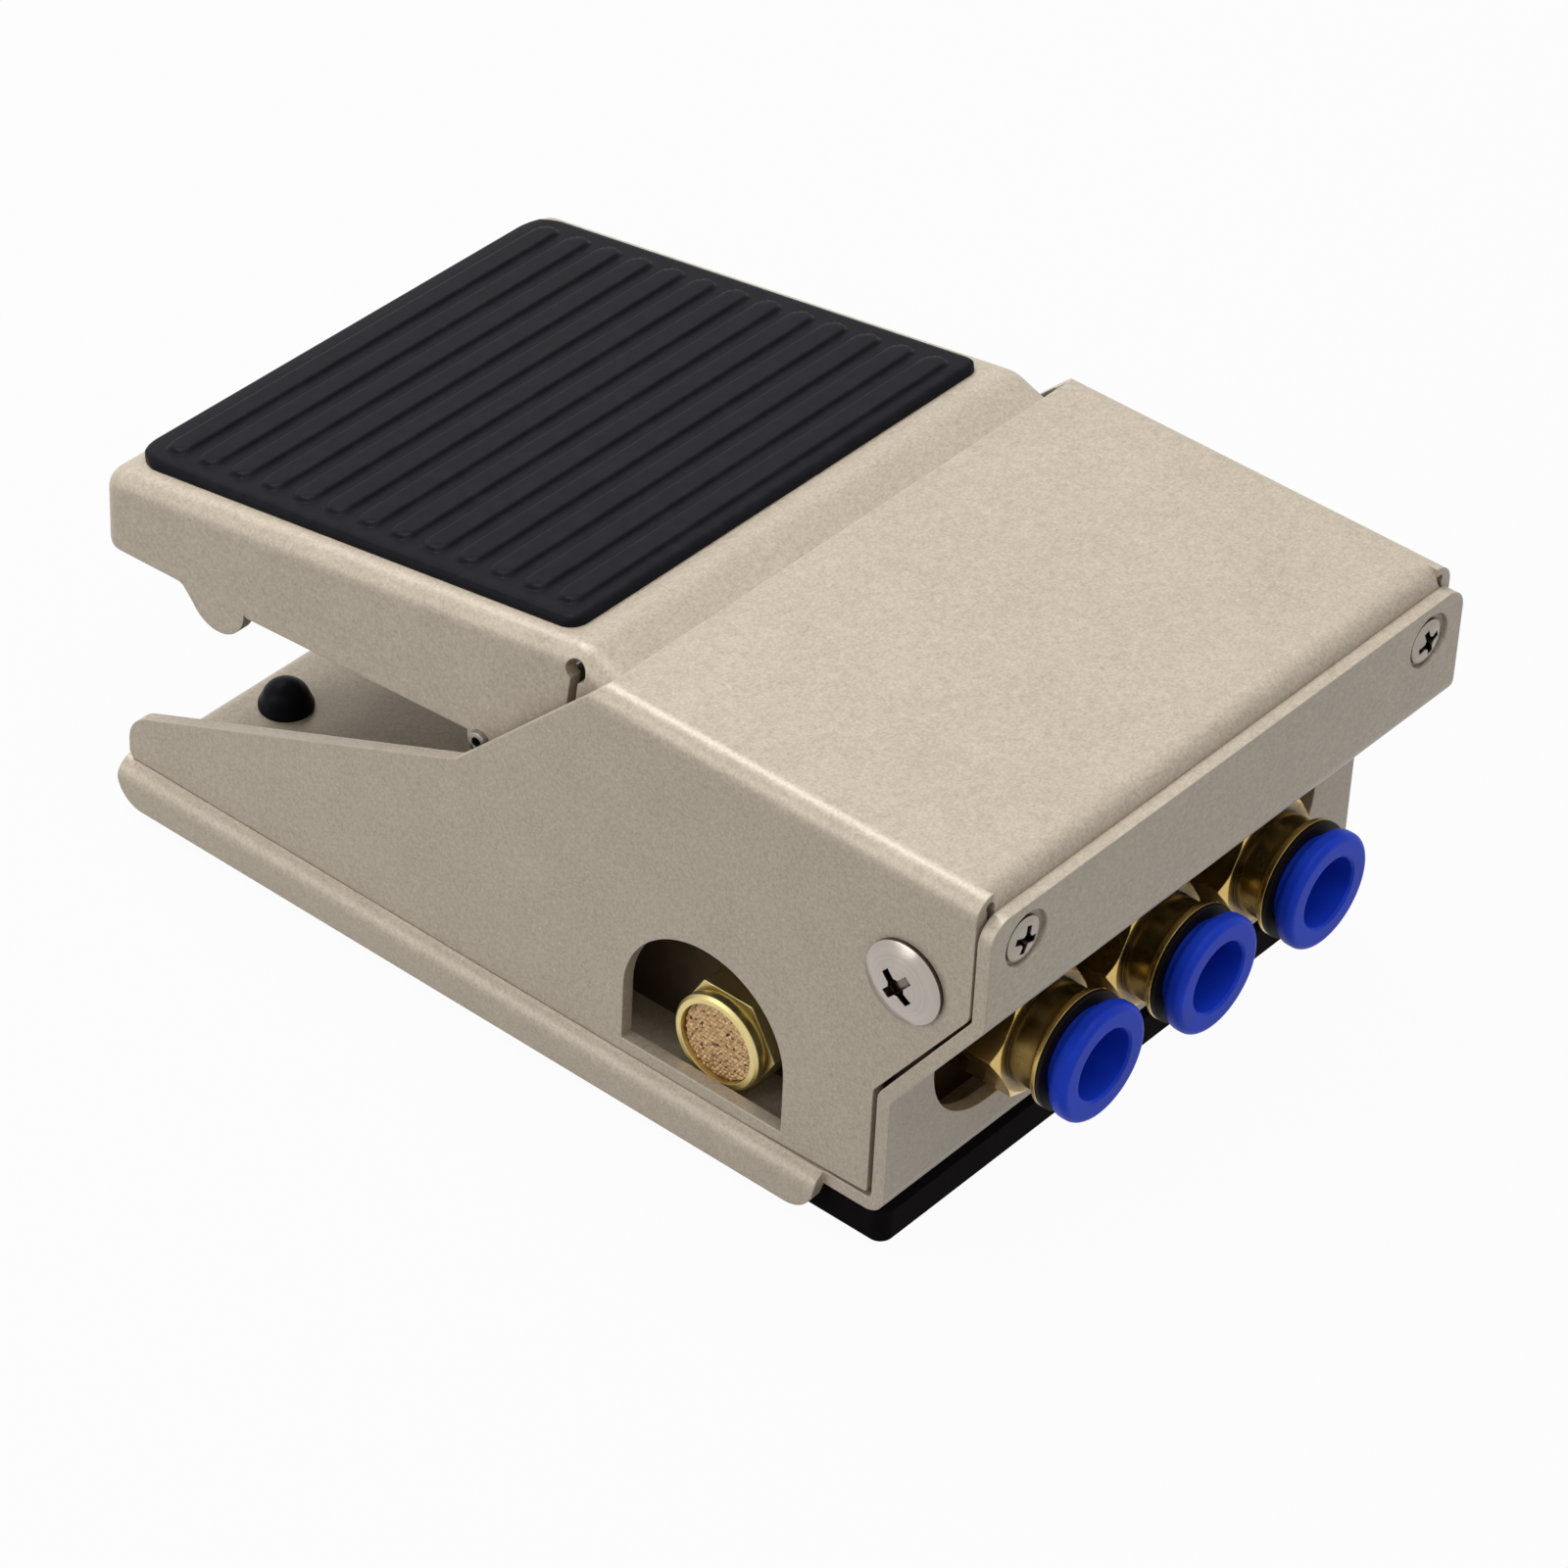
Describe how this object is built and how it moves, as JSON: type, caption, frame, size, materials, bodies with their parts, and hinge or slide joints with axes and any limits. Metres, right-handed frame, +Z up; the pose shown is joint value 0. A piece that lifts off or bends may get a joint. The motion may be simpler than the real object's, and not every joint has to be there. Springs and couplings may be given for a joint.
{
  "type": "foot pedal air valve",
  "caption": "Foot pedal air valve: a hinged pressed-steel pedal with a ribbed rubber pad in a bent-sheet casing, with push-in tube fittings and side silencers.",
  "frame": {"origin": "on the ground, under the middle of the casing's width and near the middle of its length", "axes": "+X to the right across the pedal, +Y from the toe towards the tube fittings, +Z up; metres"},
  "size_m": [0.1, 0.1557, 0.0642],
  "materials": {
    "painted_steel": "satin metallic beige, finely mottled",
    "black_rubber": "matt",
    "pad_rubber": "satin bluish black",
    "bright_screw": "bright nickel",
    "plain_steel": "turned",
    "dark_plastic": "fine grain",
    "dark_block": "moulded",
    "fitting_brass": "turned and polished",
    "blue_plastic": "semi-gloss",
    "silencer_brass": "turned",
    "porous_bronze": "sintered grains"
  },
  "bodies": {
    "casing": {"base_plate": "painted_steel", "base_mat": "black_rubber", "cover": "painted_steel", "cover_end_screws": "bright_screw", "cover_foot_screws": "bright_screw", "cover_foot_nuts": "bright_screw", "toe_bumpers": "black_rubber", "pivot_axle": "plain_steel", "pivot_screws": "bright_screw", "spring_post": "plain_steel", "return_spring": "plain_steel", "valve_body": "dark_block", "valve_screws": "bright_screw", "spool_gland": "fitting_brass", "gland_seal": "black_rubber", "spool_spring": "plain_steel", "fitting_rings": "dark_plastic", "tube_seals": "black_rubber", "fitting_body_left": "fitting_brass", "fitting_body_centre": "fitting_brass", "fitting_body_right": "fitting_brass", "silencer_body_left": "silencer_brass", "silencer_body_right": "silencer_brass", "silencer_element_left": "porous_bronze", "silencer_element_right": "porous_bronze"},
    "pedal": {"pedal_plate": "painted_steel", "pedal_pad": "pad_rubber", "pedal_bushes": "dark_plastic", "pedal_cross_pin": "plain_steel", "pusher_screw": "plain_steel", "pusher_locknut": "plain_steel", "spring_cap": "dark_plastic"},
    "plunger": {"spool": "plain_steel", "spool_seals": "black_rubber"},
    "collar_left": {"fitting_collar_left": "blue_plastic"},
    "collar_centre": {"fitting_collar_centre": "blue_plastic"},
    "collar_right": {"fitting_collar_right": "blue_plastic"}
  },
  "joints": [
    {"name": "pedal_hinge", "type": "hinge", "parent": "casing", "child": "pedal", "pos_m": [0, 0.0608, 0.0455], "axis": [1, 0, 0], "range_deg": [0, 11.3], "stiffness_Nm_per_rad": 2, "springref_deg": -17.19, "deforming": ["return_spring"]},
    {"name": "plunger_slide", "type": "slide", "parent": "casing", "child": "plunger", "axis": [0, 0, -1], "range_m": [0, 0.0064], "deforming": ["spool_spring"]},
    {"name": "collar_left_slide", "type": "slide", "parent": "casing", "child": "collar_left", "axis": [0, -1, 0], "range_m": [0, 0.00105], "stiffness_N_per_m": 300, "springref_m": -0.001},
    {"name": "collar_centre_slide", "type": "slide", "parent": "casing", "child": "collar_centre", "axis": [0, -1, 0], "range_m": [0, 0.00105], "stiffness_N_per_m": 300, "springref_m": -0.001},
    {"name": "collar_right_slide", "type": "slide", "parent": "casing", "child": "collar_right", "axis": [0, -1, 0], "range_m": [0, 0.00105], "stiffness_N_per_m": 300, "springref_m": -0.001}
  ],
  "couplings": [
    {"joint": "plunger_slide", "follows": "pedal_hinge", "m_per_rad": 0.032}
  ]
}
